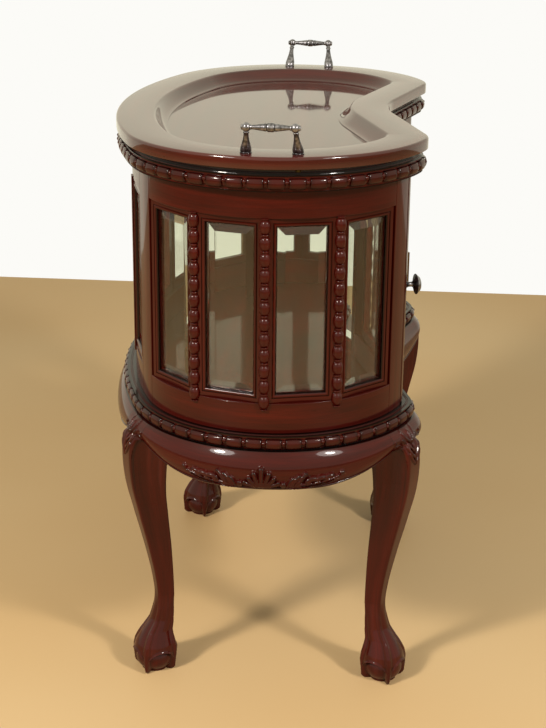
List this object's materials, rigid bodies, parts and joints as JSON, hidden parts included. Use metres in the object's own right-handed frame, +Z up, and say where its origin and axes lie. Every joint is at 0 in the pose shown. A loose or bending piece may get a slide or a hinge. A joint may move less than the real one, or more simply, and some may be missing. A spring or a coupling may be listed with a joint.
{
  "type": "dumbwaiter table",
  "caption": "Kidney-shaped glazed cabinet on cabriole legs with ball-and-claw feet, hinged front door and lift-off tray top with pull handles.",
  "frame": {"origin": "on the floor, under the middle of the plan outline", "axes": "+X along the length, -Y towards the hollow front with the door, +Z up"},
  "size_m": [0.75, 0.439, 0.79],
  "materials": {
    "mahogany": "polished dark stain",
    "plain_hardwood": "unfinished",
    "clear_glass": "bevelled, clear",
    "antique_pewter": "antiqued, satin",
    "aged_brass": "dulled",
    "catch_plastic": "matt brown",
    "strike_steel": "plain"
  },
  "bodies": {
    "cabinet": {"sub_top": "mahogany", "cornice_moulding": "mahogany", "base_moulding": "mahogany", "cabinet_floor": "mahogany", "corner_blocks": "plain_hardwood", "corner_block_screws": "aged_brass", "hinge_post_leaves": "aged_brass", "hinge_pins": "aged_brass", "hinge_post_screws": "aged_brass", "door_catch": "catch_plastic", "apron_front": "mahogany", "apron_back": "mahogany", "top_rail_left": "mahogany", "top_rail_right": "mahogany", "top_rail_back": "mahogany", "bottom_rail_left": "mahogany", "bottom_rail_right": "mahogany", "bottom_rail_back": "mahogany", "front_left_post": "mahogany", "front_right_post": "mahogany", "back_left_post": "mahogany", "back_right_post": "mahogany", "left_window_sashes": "mahogany", "left_window_panes": "clear_glass", "left_window_mullions": "mahogany", "right_window_sashes": "mahogany", "right_window_panes": "clear_glass", "right_window_mullions": "mahogany", "back_window_sashes": "mahogany", "back_window_panes": "clear_glass", "back_window_mullions": "mahogany", "apron_left": "mahogany", "apron_right": "mahogany", "leg_front_left": "mahogany", "leg_front_right": "mahogany", "leg_back_left": "mahogany", "leg_back_right": "mahogany"},
    "door": {"door_left_stile": "mahogany", "door_right_stile": "mahogany", "door_top_rail": "mahogany", "door_bottom_rail": "mahogany", "door_sashes": "mahogany", "door_panes": "clear_glass", "door_mullions": "mahogany", "door_knob": "antique_pewter", "knob_screw": "aged_brass", "hinge_door_leaves": "aged_brass", "hinge_door_screws": "aged_brass", "catch_strike": "strike_steel"},
    "tray": {"tray_rim": "mahogany", "tray_panel": "mahogany", "handle_screws": "aged_brass", "left_handle_posts": "antique_pewter", "left_handle_bar": "antique_pewter", "right_handle_posts": "antique_pewter", "right_handle_bar": "antique_pewter"}
  },
  "joints": [
    {"name": "door_hinge", "type": "hinge", "parent": "cabinet", "child": "door", "pos_m": [0.22668, -0.19442, 0.394], "axis": [0, 0, 1], "range_deg": [0, 110]},
    {"name": "tray_lift", "type": "slide", "parent": "cabinet", "child": "tray", "axis": [0, 0, 1], "range_m": [0, 0.15]}
  ]
}
